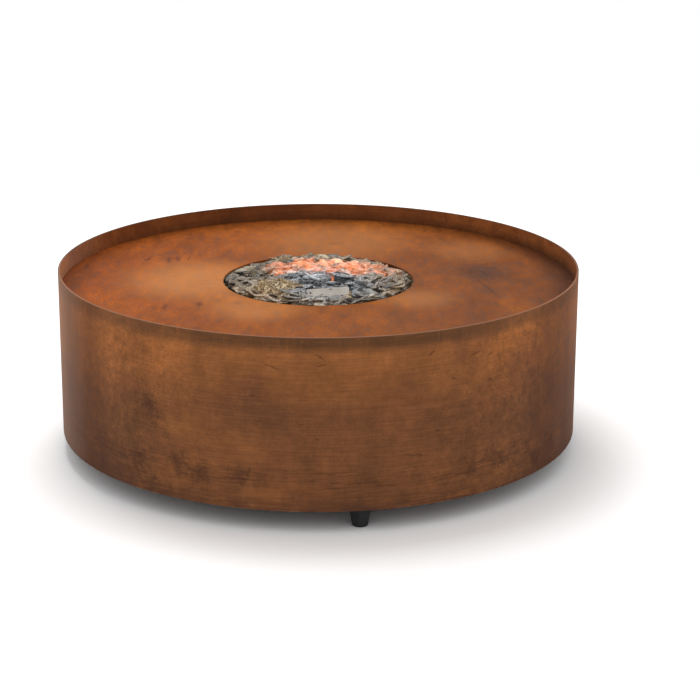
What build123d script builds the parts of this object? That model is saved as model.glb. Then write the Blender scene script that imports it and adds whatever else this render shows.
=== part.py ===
from build123d import *
import math
import os
import random

# Gas fire pit: a rolled weathering-steel drum on four levelling feet, a sunk tray with a round
# fire bowl, a ring burner under a bed of fire stones, and a control recess in the rear wall.
# Millimetres, +Z up. The origin is on the ground under the drum's axis and the rear faces +Y.

# Drum wall and tray
drum_diameter = 1000.0
drum_height = 318.0
wall_thickness = 4.0
ground_gap = 40.0            # lower edge of the wall above the ground
tray_depth = 33.0            # from the rim down to the tray
tray_thickness = 3.0
tray_clearance = 0.5         # round the tray's edge
opening_diameter = 368.0
weld_gap = 0.2               # between a welded piece and the curved wall behind it

# Base ring and levelling feet
base_ring_width = 62.0
base_ring_thickness = 4.0
foot_count = 4
foot_start_angle = 45.0
foot_inset = 30.0            # foot's axis in from the wall
foot_width_top = 42.0        # across flats
foot_width_low = 27.0
foot_edge_radius = 2.0
foot_toe_radius = 6.0
foot_stud_diameter = 10.0
foot_stud_rise = 30.0        # above the foot
foot_stud_socket = 18.0      # moulded into the foot
foot_nut_width = 17.0
foot_nut_height = 8.0

# Tray lugs and their fasteners
lug_count = 8
lug_start_angle = 22.5
lug_width = 40.0
lug_height = 30.0
lug_reach = 34.0
lug_thickness = 3.0
lug_bolt_inset = 19.0        # bolt's axis in from the wall
fastener_diameter = 6.0
fastener_clearance = 0.4     # round a stud in its hole
thread_clearance = 0.05      # round a stud in its nut
fastener_length = 14.0
nut_width = 10.0
nut_height = 5.0

# Fire bowl
bowl_setback = 2.0           # bowl wall behind the tray's edge
bowl_sheet = 1.5
bowl_depth = 72.0            # tray's underside to the bowl's floor
bowl_corner_radius = 8.0
bowl_flange = 28.0
bowl_bolt_count = 6
bowl_bolt_offset = 15.0      # bolt circle out from the bowl wall
drain_count = 4
drain_diameter = 8.0
drain_inset = 22.0
drain_start_angle = 45.0
lead_slot_length = 48.0
lead_slot_width = 14.0

# Grate, fill and stones
tab_count = 4
tab_start_angle = 45.0
tab_width = 24.0
tab_height = 16.0
tab_reach = 14.0
tab_thickness = 2.0
grate_drop = 28.0            # grate's underside below the tray's underside
grate_thickness = 2.0
grate_clearance = 2.0
slot_rows = 3
slots_per_row = 6            # in the first row, and this many more in each next one
slot_edge = 40.0             # middle of the last row in from the plate's edge
slot_web = 18.0              # metal between two rows
slot_width = 8.0
fill_height = 17.0
fill_edge_radius = 5.0
stone_radius = 25.5
stone_edge_gap = 1.0
stone_low = 20.0
stone_high = 36.0
stone_height_spread = 3.0
stone_row_turn = 11.0        # each row of stones past the one inside it
stones_per_row = 6           # in the first row, and this many more in each next one
stone_sides = 7
stone_side_swing = 8.0       # degrees either way
stone_side_reach = (0.83, 0.95)
stone_side_slope = (0.0, 0.32)
stone_top_faces = 3
stone_top_swing = 40.0
stone_top_level = (0.85, 1.0)
stone_top_slope = (0.2, 0.6)
stone_seed = 11

# Burner
burner_ring_diameter = 250.0
burner_tube = 20.0
burner_wall = 1.5
burner_lift = 20.0           # tube axis above the bowl's floor
spoke_tube = 16.0
port_diameter = 3.0
port_count = 30
hub_diameter = 50.0
hub_height = 32.0
hub_wall = 3.0
tail_diameter = 27.0
tail_clearance = 0.5
tail_engagement = 20.0       # tail inside the mixer
locknut_width = 40.0
locknut_height = 8.0

# Air mixer, shutter and injector
mixer_length = 94.0
mixer_socket_diameter = 36.0
mixer_throat_diameter = 26.0
mixer_bell_diameter = 40.0
mixer_flange_diameter = 50.0
mixer_wall = 4.0
mixer_bell_length = 38.0
mixer_floor = 4.0
mixer_cone = 12.0
air_window_count = 4
air_window_width = 14.0
air_window_height = 16.0
air_window_lift = 6.0        # above the mixer's floor
shutter_sheet = 1.6
shutter_height = 26.0
shutter_clearance = 0.08
shutter_seat = 0.3           # above the mixer's flange
shutter_ear = 9.0
shutter_ear_angle = 225.0
jet_diameter = 1.6
injector_thread = 12.0
injector_hex = 17.0
injector_hex_height = 8.0
nozzle_height = 14.0

# Gas pipes and fittings
pipe_diameter = 10.0
pipe_wall = 1.0
elbow_diameter = 18.0
elbow_rise = 14.0            # pipe axis below the injector
elbow_reach = 22.0
elbow_nut_width = 19.0
pipe_nut_width = 17.0
pipe_nut_length = 12.0
main_bend_radius = 40.0
main_bend_run = 60.0         # length over which the main pipe changes level
pilot_pipe_diameter = 4.0
pilot_pipe_wall = 0.7
sensor_lead_diameter = 3.0
spark_lead_diameter = 5.0
lead_bend_radius = 24.0
spark_lead_rise = 29.0       # clear above the pilot pipe where they cross

# Control recess
window_width = 220.0
window_height = 100.0
window_corner = 10.0
recess_depth = 32.0          # outer wall to the panel's face, on the centre line
recess_sheet = 1.5
recess_margin = 0.5          # recess wall outside the window's edge
recess_rise = 52.0           # recess above the base ring
panel_thickness = 2.0
knob_x = 0.0
igniter_x = 70.0
inlet_x = -70.0

# Gas valve, spindle and knob
valve_width = 56.0
valve_depth = 42.0
valve_height = 52.0
valve_corner = 5.0
valve_neck_length = 6.0
valve_neck_diameter = 24.0
valve_ear_width = 52.0
valve_ear_height = 20.0
valve_ear_thickness = 4.0
valve_screw_spacing = 40.0
valve_screw_diameter = 4.0
valve_screw_head = 7.4
valve_screw_head_height = 2.4
valve_screw_length = 8.0
valve_inlet_setback = 14.0   # inlet axis in front of the valve's back
valve_boss_diameter = 18.0
valve_boss_length = 10.0
outlet_drop = 14.0           # main outlet below the spindle's axis
pilot_port_rise = 14.0
pilot_port_offset = 16.0
pilot_port_diameter = 10.0
pilot_port_length = 8.0
spindle_diameter = 8.0
spindle_depth = 24.0         # into the valve from the panel's back
spindle_flat = 2.6           # flat's distance from the axis
spindle_hole_clearance = 1.0 # round the spindle in the panel
running_clearance = 0.05
end_room = 1.0               # left at the bottom of a bore when it is pushed in
knob_diameter = 44.0
knob_gap = 8.0               # panel to knob
knob_skirt = 6.0
knob_depth = 20.0
knob_grip_width = 13.0
knob_grip_margin = 3.0
knob_grip_draft = 5.0        # degrees
knob_edge_radius = 1.2
knob_roof = 5.0              # over the end of its bore
knob_push = 4.0
pointer_width = 2.0
pointer_depth = 1.0

# Igniter
igniter_diameter = 20.0
igniter_length = 46.0
igniter_bezel_diameter = 27.0
igniter_bezel_height = 4.0
igniter_nut_width = 26.0
igniter_nut_height = 6.0
igniter_terminal_diameter = 7.0
igniter_terminal_length = 12.0
button_diameter = 14.0
button_proud = 10.0
button_push = 6.0
button_guide = 8.0           # left in the bore

# Gas inlet
inlet_thread_diameter = 16.66
inlet_thread_length = 14.0
inlet_hex_width = 24.0
inlet_hex_height = 8.0
inlet_shank_diameter = 16.0
inlet_shank_length = 10.0    # behind the panel
inlet_nut_height = 7.0
inlet_bore = 8.0
inlet_bend_radius = 17.0

# Pilot assembly
pilot_ring_gap = 14.0        # burner ring to the pilot's bracket
pilot_spacing = 16.0
bracket_width = 60.0
bracket_depth = 26.0
bracket_height = 24.0
bracket_sheet = 1.5
pilot_diameter = 8.0
pilot_hood_diameter = 12.0
pilot_hood_height = 13.0
pilot_stand = 4.0            # lead ends above the bracket's foot
sensor_diameter = 5.0
sensor_rise = 14.0           # above the bracket
electrode_diameter = 7.0
electrode_rise = 8.0
electrode_wire = 2.0
electrode_tip = 7.0

# Levels and radii that follow from the sizes above
drum_radius = drum_diameter / 2
wall_inside = drum_radius - wall_thickness
rim_z = ground_gap + drum_height
tray_top = rim_z - tray_depth
tray_under = tray_top - tray_thickness
opening_radius = opening_diameter / 2
foot_circle = wall_inside - foot_inset
base_top = ground_gap + base_ring_thickness
lug_bolt_circle = wall_inside - lug_bolt_inset
bowl_inside = opening_radius + bowl_setback
bowl_outside = bowl_inside + bowl_sheet
bowl_bolt_circle = bowl_outside + bowl_bolt_offset
bowl_floor = tray_under - bowl_depth
bowl_under = bowl_floor - bowl_sheet
grate_under = tray_under - grate_drop
grate_top = grate_under + grate_thickness
grate_radius = bowl_inside - grate_clearance
slot_pitch = (grate_radius - slot_edge) / slot_rows
slot_length = slot_pitch - slot_web
fill_top = grate_top + fill_height
stone_span = grate_radius - stone_radius - stone_edge_gap
stone_rows = int(stone_span // (2 * stone_radius))
stone_pitch = stone_span / stone_rows
burner_z = bowl_floor + burner_lift
mixer_top = bowl_under - locknut_height
mixer_bottom = mixer_top - mixer_length
injector_bottom = mixer_bottom - injector_hex_height
feed_z = injector_bottom - elbow_rise
panel_z = base_top + recess_rise + recess_sheet + recess_margin + window_height / 2
outlet_z = panel_z - outlet_drop
panel_y = drum_radius - recess_depth
panel_back = panel_y - panel_thickness
valve_front = panel_back - valve_neck_length
valve_back = valve_front - valve_depth
knob_back = panel_y + knob_gap
spindle_end = knob_back + knob_depth - knob_roof - knob_push - end_room
pilot_port_z = panel_z + pilot_port_rise
ring_inside = burner_ring_diameter / 2 - burner_tube / 2
pilot_distance = ring_inside - pilot_ring_gap - bracket_depth / 2
bracket_top = bowl_floor + bracket_height
lead_end_z = bowl_floor + bracket_sheet + pilot_stand


# Shapes used by several pieces

def disc(radius, low, high):
    """A round plate or bar on the drum's axis between two heights."""
    return extrude(Pos(0, 0, low) * Circle(radius), high - low)


def ring(outer, inner, low, high):
    return extrude(Pos(0, 0, low) * (Circle(outer) - Circle(inner)), high - low)


def hexagon(width, low, high):
    """A hexagonal bar on the drum's axis, sized across its flats."""
    return extrude(Pos(0, 0, low) * RegularPolygon(width / 2, 6, major_radius=False), high - low)


def rear_plane(x, y, z):
    """A sketch plane that faces the rear."""
    return Plane(origin=(x, y, z), x_dir=(1, 0, 0), z_dir=(0, 1, 0))


def rod(diameter, x, z, start, end):
    """A round bar that runs front to rear."""
    return extrude(rear_plane(x, start, z) * Circle(diameter / 2), end - start)


def hex_rod(width, x, z, start, end):
    return extrude(rear_plane(x, start, z) * RegularPolygon(width / 2, 6, major_radius=False), end - start)


def tube(points, bend_radius, outer, inner=0.0):
    """A round pipe or lead along straight runs joined by arcs."""
    path = FilletPolyline(*points, radius=bend_radius)
    plane = Plane(origin=path @ 0, z_dir=path % 0)
    pipe = sweep(plane * Circle(outer / 2), path=path)
    if inner:
        pipe -= sweep(plane * Circle(inner / 2), path=path)
    return pipe


def polar(radius, angle):
    turn = math.radians(angle)
    return Pos(radius * math.cos(turn), radius * math.sin(turn), 0)


def around(shape, count, start=0.0):
    """Copies of a shape turned about the drum's axis."""
    return [Rot(0, 0, start + 360 * i / count) * shape for i in range(count)]


def curved_angle(outer, top, reach, height, thickness, width):
    """An angle bracket rolled to the wall that it is welded to, with its ledge on top."""
    inner = outer - thickness
    under = top - thickness
    low = top - height
    tip = outer - reach
    line = Polyline(
        (outer, top), (outer, low), (inner, low), (inner, under), (tip, under), (tip, top), close=True)
    span = math.degrees(width / outer)
    return Rot(0, 0, -span / 2) * revolve(make_face(Plane.XZ * line), Axis.Z, span)


def stud_and_nut(radius, top, grip):
    """A stud welded under a plate, and the nut below the sheet that it grips, both on the +X side."""
    stud = Pos(radius, 0, 0) * disc(fastener_diameter / 2, top - fastener_length, top)
    seat = top - grip
    bore = fastener_diameter / 2 + thread_clearance
    nut = hexagon(nut_width, seat - nut_height, seat) - disc(bore, seat - nut_height, seat)
    return stud, Pos(radius, 0, 0) * nut


def save(node, *shapes):
    solids = [solid for shape in shapes for solid in shape.solids()]
    export_step(solids[0] if len(solids) == 1 else Compound(children=solids), f"parts/{node}.step")


# Drum, tray and what carries them

def make_drum_shell():
    wall = ring(drum_radius, wall_inside, ground_gap, rim_z)
    window = rear_plane(0, 0, panel_z) * RectangleRounded(window_width, window_height, window_corner)
    return wall - extrude(window, drum_diameter)


def make_base_ring():
    outer = wall_inside - weld_gap
    plate = ring(outer, outer - base_ring_width, ground_gap, base_top)
    hole = disc(foot_stud_diameter / 2 + fastener_clearance, ground_gap, base_top)
    for i in range(foot_count):
        plate -= polar(foot_circle, foot_start_angle + 360 * i / foot_count) * hole
    return plate


def make_top_tray():
    return ring(wall_inside - tray_clearance, opening_radius, tray_under, tray_top)


def make_tray_lug():
    lug = curved_angle(wall_inside - weld_gap, tray_under, lug_reach, lug_height, lug_thickness, lug_width)
    hole = disc(fastener_diameter / 2 + fastener_clearance, tray_under - lug_thickness, tray_under)
    return lug - Pos(lug_bolt_circle, 0, 0) * hole


# Levelling feet

def make_foot():
    """A moulded foot, hexagonal so that it can be turned by hand, that narrows to a rounded toe."""
    low = RegularPolygon(foot_width_low / 2, 6, major_radius=False)
    top = Pos(0, 0, ground_gap) * RegularPolygon(foot_width_top / 2, 6, major_radius=False)
    body = loft([low, top], ruled=True)
    body = fillet(body.edges().group_by(Axis.Z)[1], foot_edge_radius)
    toe = Cone(foot_width_low / math.sqrt(3), foot_width_top / math.sqrt(3), ground_gap,
               align=(Align.CENTER, Align.CENTER, Align.MIN))
    body &= fillet(toe.edges().group_by(Axis.Z)[0], foot_toe_radius)
    return body - disc(foot_stud_diameter / 2 + thread_clearance, ground_gap - foot_stud_socket, ground_gap)


def make_foot_stud():
    return disc(foot_stud_diameter / 2, ground_gap - foot_stud_socket, ground_gap + foot_stud_rise)


def make_foot_nut():
    top = base_top + foot_nut_height
    bore = foot_stud_diameter / 2 + thread_clearance
    return hexagon(foot_nut_width, base_top, top) - disc(bore, base_top, top)


# Fire bowl, grate and fill

def make_fire_bowl():
    outside = disc(bowl_outside, bowl_under, tray_under)
    outside = fillet(outside.edges().group_by(Axis.Z)[0], bowl_corner_radius + bowl_sheet)
    inside = disc(bowl_inside, bowl_floor, tray_under)
    inside = fillet(inside.edges().group_by(Axis.Z)[0], bowl_corner_radius)
    flange = ring(bowl_outside + bowl_flange, bowl_inside, tray_under - bowl_sheet, tray_under)
    bowl = outside + flange - inside
    bowl -= disc(tail_diameter / 2 + tail_clearance, bowl_under, bowl_floor)
    bolt_hole = disc(fastener_diameter / 2 + fastener_clearance, tray_under - bowl_sheet, tray_under)
    for hole in around(Pos(bowl_bolt_circle, 0, 0) * bolt_hole, bowl_bolt_count):
        bowl -= hole
    drain = disc(drain_diameter / 2, bowl_under, bowl_floor)
    for hole in around(Pos(bowl_inside - drain_inset, 0, 0) * drain, drain_count, drain_start_angle):
        bowl -= hole
    slot = Pos(0, pilot_distance, bowl_under) * SlotOverall(lead_slot_length, lead_slot_width)
    return bowl - extrude(slot, bowl_sheet)


def make_grate_tab():
    return curved_angle(bowl_inside - weld_gap, grate_under, tab_reach, tab_height, tab_thickness, tab_width)


def make_media_grate():
    """A plate with rings of radial slots that lets the gas through to the stones."""
    sheet = Circle(grate_radius)
    for row in range(1, slot_rows + 1):
        slot = Pos(row * slot_pitch, 0) * SlotOverall(slot_length, slot_width)
        for turned in around(slot, slots_per_row * row):
            sheet -= turned
    return extrude(Pos(0, 0, grate_under) * sheet, grate_thickness)


def make_fire_bed():
    bed = disc(grate_radius, grate_top, fill_top)
    return fillet(bed.edges().group_by(Axis.Z)[-1], fill_edge_radius)


def make_fire_stone(chance, height):
    """One broken lump: a block with its sides and top split off along uneven planes."""
    lump = Box(3 * stone_radius, 3 * stone_radius, height, align=(Align.CENTER, Align.CENTER, Align.MIN))
    for i in range(stone_sides):
        swing = chance.uniform(-stone_side_swing, stone_side_swing)
        angle = math.radians(360 * i / stone_sides + swing)
        reach = stone_radius * chance.uniform(*stone_side_reach)
        side = (math.cos(angle), math.sin(angle), chance.uniform(*stone_side_slope))
        cut = Plane(origin=(reach * side[0], reach * side[1], 0), z_dir=side)
        lump = split(lump, bisect_by=cut, keep=Keep.BOTTOM)
    for i in range(stone_top_faces):
        swing = chance.uniform(-stone_top_swing, stone_top_swing)
        angle = math.radians(360 * i / stone_top_faces + swing)
        slope = chance.uniform(*stone_top_slope)
        top = (slope * math.cos(angle), slope * math.sin(angle), 1)
        cut = Plane(origin=(0, 0, height * chance.uniform(*stone_top_level)), z_dir=top)
        lump = split(lump, bisect_by=cut, keep=Keep.BOTTOM)
    return lump


def make_fire_stones():
    """Stones in rings on the fill, heaped a little towards the middle."""
    chance = random.Random(stone_seed)
    stones = []
    for row in range(stone_rows + 1):
        count = max(1, stones_per_row * row)
        heap = stone_high - (stone_high - stone_low) * (row / stone_rows) ** 2
        for i in range(count):
            place = polar(row * stone_pitch, 360 * i / count + stone_row_turn * row)
            height = heap + chance.uniform(-stone_height_spread, stone_height_spread)
            stone = make_fire_stone(chance, height)
            stones.append(Pos(0, 0, fill_top) * place * stone)
    return stones


# Burner and air mixer

def burner_spokes(diameter):
    """The line of the two feed spokes, from one side of the burner ring to the other."""
    plane = Plane(origin=(-burner_ring_diameter / 2, 0, burner_z), x_dir=(0, 1, 0), z_dir=(1, 0, 0))
    return extrude(plane * Circle(diameter / 2), burner_ring_diameter)


def burner_section(section):
    """A section of the burner tube in its place on the +X side."""
    return Plane.XZ * Pos(burner_ring_diameter / 2, burner_z) * section


def make_burner_half():
    """Half of the bent burner tube, with a row of ports along its top and the inlet from its spoke."""
    wall = Circle(burner_tube / 2) - Circle(burner_tube / 2 - burner_wall)
    half = Rot(0, 0, -90) * revolve(burner_section(wall), Axis.Z, 180)
    port = disc(port_diameter / 2, burner_z, burner_z + burner_tube)
    for i in range(port_count // 2):
        half -= polar(burner_ring_diameter / 2, (i + 0.5) * 360 / port_count - 90) * port
    return half - burner_spokes(spoke_tube - 2 * burner_wall)


def make_burner_hub():
    """The hollow hub, its two spokes fitted to the ring, and the threaded tail through the bowl's floor."""
    hub = burner_spokes(spoke_tube)
    hub += disc(hub_diameter / 2, bowl_floor, bowl_floor + hub_height)
    hub += disc(tail_diameter / 2, mixer_top - tail_engagement, bowl_floor)
    hub -= revolve(burner_section(Circle(burner_tube / 2)), Axis.Z)
    hub -= burner_spokes(spoke_tube - 2 * burner_wall)
    hub -= disc(hub_diameter / 2 - hub_wall, bowl_floor + hub_wall, bowl_floor + hub_height - hub_wall)
    return hub - disc(tail_diameter / 2 - hub_wall, mixer_top - tail_engagement, bowl_floor + hub_wall)


def make_burner_locknut():
    bore = disc(tail_diameter / 2 + thread_clearance, mixer_top, bowl_under)
    return hexagon(locknut_width, mixer_top, bowl_under) - bore


def air_windows(radius):
    """Cutters for the air windows in a wall of this outer radius."""
    low = mixer_bottom + mixer_floor + air_window_lift
    block = Box(radius, air_window_width, air_window_height, align=(Align.MIN, Align.CENTER, Align.MIN))
    reach = mixer_throat_diameter / 2
    return around(Pos(reach, 0, low) * block, air_window_count)


def make_air_mixer():
    """A cast venturi: a threaded socket, a narrow throat and a bell with air windows."""
    socket = mixer_socket_diameter / 2
    throat = mixer_throat_diameter / 2
    bell = mixer_bell_diameter / 2
    socket_low = mixer_top - tail_engagement - mixer_wall
    bell_top = mixer_bottom + mixer_bell_length
    floor_top = mixer_bottom + mixer_floor
    bore = tail_diameter / 2 + thread_clearance
    outline = Polyline(
        (bore, mixer_top), (socket, mixer_top), (socket, socket_low), (throat, socket_low - mixer_cone),
        (throat, bell_top + mixer_cone), (bell, bell_top), (bell, floor_top),
        (mixer_flange_diameter / 2, floor_top), (mixer_flange_diameter / 2, mixer_bottom),
        (injector_thread / 2 + thread_clearance, mixer_bottom),
        (injector_thread / 2 + thread_clearance, floor_top), (bell - mixer_wall, floor_top),
        (bell - mixer_wall, bell_top), (throat - mixer_wall, bell_top + mixer_cone),
        (throat - mixer_wall, mixer_top - tail_engagement), (bore, mixer_top - tail_engagement),
        close=True)
    mixer = revolve(make_face(Plane.XZ * outline), Axis.Z)
    for window in air_windows(bell):
        mixer -= window
    return mixer


def make_air_shutter():
    """A sleeve round the bell whose windows are turned over the mixer's to set the air."""
    inner = mixer_bell_diameter / 2 + shutter_clearance
    outer = inner + shutter_sheet
    low = mixer_bottom + mixer_floor + shutter_seat
    ear = Box(outer - inner / 2 + shutter_ear, shutter_sheet, shutter_height / 2,
              align=(Align.MIN, Align.CENTER, Align.MIN))
    sleeve = disc(outer, low, low + shutter_height)
    sleeve += Rot(0, 0, shutter_ear_angle) * Pos(inner / 2, 0, low) * ear
    sleeve -= disc(inner, low, low + shutter_height)
    for window in air_windows(outer):
        sleeve -= window
    return sleeve


def make_injector():
    tip = mixer_bottom + nozzle_height
    thread = injector_thread / 2
    body = hexagon(injector_hex, injector_bottom, mixer_bottom)
    body += disc(thread, mixer_bottom, mixer_bottom + mixer_floor)
    cone = Pos(0, 0, mixer_bottom + mixer_floor) * Cone(thread, thread / 2, tip - mixer_bottom - mixer_floor,
                                                        align=(Align.CENTER, Align.CENTER, Align.MIN))
    return body + cone - disc(jet_diameter / 2, injector_bottom, tip)


def make_gas_elbow():
    """A turned elbow that carries the injector, with the pipe's nut on its rear end."""
    bore = pipe_diameter / 2 - pipe_wall
    body = disc(elbow_diameter / 2, feed_z, injector_bottom)
    body += Pos(0, 0, feed_z) * Sphere(elbow_diameter / 2)
    body += rod(elbow_diameter, 0, feed_z, 0, elbow_reach)
    body += hex_rod(elbow_nut_width, 0, feed_z, elbow_reach, elbow_reach + pipe_nut_length)
    body -= disc(bore, feed_z, injector_bottom)
    return body - rod(2 * bore, 0, feed_z, 0, elbow_reach + pipe_nut_length)


# Control recess in the rear wall

def make_control_box():
    """A folded recess behind the window, trimmed to the curve of the wall."""
    def window_grown(by):
        return RectangleRounded(window_width + 2 * by, window_height + 2 * by, window_corner + by)

    outline = window_grown(recess_margin + recess_sheet)
    hollow = window_grown(recess_margin)
    box = extrude(rear_plane(0, panel_back, panel_z) * outline, recess_depth)
    box -= extrude(rear_plane(0, panel_y, panel_z) * hollow, recess_depth)
    box &= disc(wall_inside - weld_gap, ground_gap, rim_z)
    box -= rod(spindle_diameter + 2 * spindle_hole_clearance, knob_x, panel_z, panel_back, panel_y)
    box -= rod(igniter_diameter + 2 * fastener_clearance, igniter_x, panel_z, panel_back, panel_y)
    box -= rod(inlet_shank_diameter + 2 * fastener_clearance, inlet_x, panel_z, panel_back, panel_y)
    for side in (-1, 1):
        x = knob_x + side * valve_screw_spacing / 2
        box -= rod(valve_screw_diameter + fastener_clearance, x, panel_z, panel_back, panel_y)
    return box


def make_control_valve():
    """A cast valve block behind the panel, with its ports on its side and back."""
    plane = rear_plane(knob_x, valve_back, panel_z)
    body = extrude(plane * RectangleRounded(valve_width, valve_height, valve_corner), valve_depth)
    body += rod(valve_neck_diameter, knob_x, panel_z, valve_front, panel_back)
    ear_plane = rear_plane(knob_x, panel_back - valve_ear_thickness, panel_z)
    body += extrude(ear_plane * SlotOverall(valve_ear_width, valve_ear_height), valve_ear_thickness)
    body += rod(valve_boss_diameter, knob_x, outlet_z, valve_back - valve_boss_length, valve_back)
    inlet_face = (knob_x - valve_width / 2, valve_back + valve_inlet_setback, panel_z)
    inlet_plane = Plane(origin=inlet_face, z_dir=(-1, 0, 0))
    body += extrude(inlet_plane * Circle(valve_boss_diameter / 2), valve_boss_length)
    for side in (-1, 1):
        x = knob_x + side * pilot_port_offset
        body += rod(pilot_port_diameter, x, pilot_port_z, valve_back - pilot_port_length, valve_back)
        x = knob_x + side * valve_screw_spacing / 2
        bore = valve_screw_diameter + 2 * thread_clearance
        body -= rod(bore, x, panel_z, panel_y - valve_screw_length, panel_back)
    bore = spindle_diameter + 2 * running_clearance
    return body - rod(bore, knob_x, panel_z, panel_back - spindle_depth, panel_back)


def make_valve_screw(x):
    head = rod(valve_screw_head, x, panel_z, panel_y, panel_y + valve_screw_head_height)
    head = fillet(head.edges().group_by(Axis.Y)[-1], valve_screw_head_height / 3)
    return head + rod(valve_screw_diameter, x, panel_z, panel_y - valve_screw_length, panel_y)


def spindle_profile(clearance):
    """The spindle's round section with its flat, in the panel's plane."""
    radius = spindle_diameter / 2 + clearance
    flat = Pos(0, radius + spindle_flat + clearance) * Rectangle(4 * radius, 2 * radius)
    return Circle(radius) - flat


def make_valve_spindle():
    shaft = rod(spindle_diameter, knob_x, panel_z, panel_back - spindle_depth, panel_y)
    return shaft + extrude(rear_plane(knob_x, panel_y, panel_z) * spindle_profile(0), spindle_end - panel_y)


def make_control_knob():
    """A moulded knob with a thin skirt and a finger bar that points at the setting."""
    plane = rear_plane(knob_x, knob_back, panel_z)
    skirt = extrude(plane * Circle(knob_diameter / 2), knob_skirt)
    skirt = fillet(skirt.edges().group_by(Axis.Y)[-1], knob_edge_radius)
    bar = SlotOverall(knob_diameter - 2 * knob_grip_margin, knob_grip_width, rotation=90)
    grip = extrude(plane.offset(knob_skirt) * bar, knob_depth - knob_skirt, taper=knob_grip_draft)
    grip = fillet(grip.edges().group_by(Axis.Y)[-1], knob_edge_radius)
    mark = Pos(knob_x, knob_back + knob_depth, panel_z + knob_diameter / 4)
    mark *= Box(pointer_width, 2 * pointer_depth, knob_diameter / 2)
    bore = extrude(plane * spindle_profile(running_clearance), knob_depth - knob_roof)
    return skirt + grip - mark - bore


def make_igniter_body():
    back = panel_back - igniter_length
    front = panel_y + igniter_bezel_height
    body = rod(igniter_diameter, igniter_x, panel_z, back, panel_y)
    body += rod(igniter_bezel_diameter, igniter_x, panel_z, panel_y, front)
    body += rod(igniter_terminal_diameter, igniter_x, panel_z, back - igniter_terminal_length, back)
    bore_end = front - button_guide - button_push - end_room
    return body - rod(button_diameter + 2 * running_clearance, igniter_x, panel_z, bore_end, front)


def make_igniter_nut():
    nut = hex_rod(igniter_nut_width, igniter_x, panel_z, panel_back - igniter_nut_height, panel_back)
    bore = igniter_diameter + 2 * thread_clearance
    return nut - rod(bore, igniter_x, panel_z, panel_back - igniter_nut_height, panel_back)


def make_igniter_button():
    front = panel_y + igniter_bezel_height + button_proud
    back = panel_y + igniter_bezel_height - button_guide
    button = rod(button_diameter, igniter_x, panel_z, back, front)
    return fillet(button.edges().group_by(Axis.Y)[-1], knob_edge_radius)


def make_gas_inlet():
    """A bulkhead nipple: hexagon and thread in the recess, shank through the panel."""
    hex_front = panel_y + inlet_hex_height
    front = hex_front + inlet_thread_length
    back = panel_back - inlet_shank_length
    body = hex_rod(inlet_hex_width, inlet_x, panel_z, panel_y, hex_front)
    body += rod(inlet_thread_diameter, inlet_x, panel_z, hex_front, front)
    body += rod(inlet_shank_diameter, inlet_x, panel_z, back, panel_y)
    return body - rod(inlet_bore, inlet_x, panel_z, back, front)


def make_inlet_nut():
    nut = hex_rod(inlet_hex_width, inlet_x, panel_z, panel_back - inlet_nut_height, panel_back)
    bore = inlet_shank_diameter + 2 * thread_clearance
    return nut - rod(bore, inlet_x, panel_z, panel_back - inlet_nut_height, panel_back)


# Pilot assembly on the bowl's floor

def pilot_bar(diameter, x, low, high):
    return Pos(x, pilot_distance, 0) * disc(diameter / 2, low, high)


def make_pilot_bracket():
    """A folded bracket: a foot over the slot in the floor, a back and a ledge that grips the three tips."""
    near = pilot_distance - bracket_depth / 2
    far = pilot_distance + bracket_depth / 2
    sheet = bracket_sheet
    foot_top = bowl_floor + sheet
    line = Polyline(
        (near, bowl_floor), (far, bowl_floor), (far, bracket_top), (near, bracket_top),
        (near, bracket_top - sheet), (far - sheet, bracket_top - sheet), (far - sheet, foot_top),
        (near, foot_top), close=True)
    bracket = extrude(Pos(-bracket_width / 2, 0, 0) * make_face(Plane.YZ * line), bracket_width)
    tips = ((-pilot_spacing, sensor_diameter, sensor_lead_diameter),
            (0, electrode_diameter, spark_lead_diameter),
            (pilot_spacing, pilot_diameter, pilot_pipe_diameter))
    for x, tip, lead in tips:
        bracket -= pilot_bar(tip + 2 * thread_clearance, x, foot_top, bracket_top)
        bracket -= pilot_bar(lead + 2 * fastener_clearance, x, bowl_floor, foot_top)
    return bracket


def make_pilot_burner():
    """A short tube with a wider hood, open to the side that faces the burner ring."""
    hood_top = bracket_top + pilot_hood_height
    body = pilot_bar(pilot_diameter, pilot_spacing, lead_end_z, bracket_top)
    hood = pilot_bar(pilot_hood_diameter, pilot_spacing, bracket_top, hood_top)
    hood -= pilot_bar(pilot_diameter, pilot_spacing, bracket_top + bracket_sheet, hood_top - bracket_sheet)
    mouth = Pos(pilot_spacing, pilot_distance, bracket_top + 2 * bracket_sheet)
    mouth *= Box(pilot_diameter / 2, pilot_hood_diameter, pilot_hood_height / 2,
                 align=(Align.CENTER, Align.MIN, Align.MIN))
    return body + hood - mouth


def make_thermocouple():
    top = bracket_top + sensor_rise
    tip = pilot_bar(sensor_diameter, -pilot_spacing, lead_end_z, top)
    return fillet(tip.edges().group_by(Axis.Z)[-1], sensor_diameter / 3)


def make_spark_electrode():
    """A ceramic sleeve with a wire whose end leans over to the pilot."""
    top = bracket_top + electrode_rise
    sleeve = pilot_bar(electrode_diameter, 0, lead_end_z, top)
    route = ((0, pilot_distance, top), (0, pilot_distance, top + electrode_tip / 2),
             (electrode_tip, pilot_distance, top + electrode_tip / 2))
    return sleeve + tube(route, electrode_wire, electrode_wire)


# Pipes and leads

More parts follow.
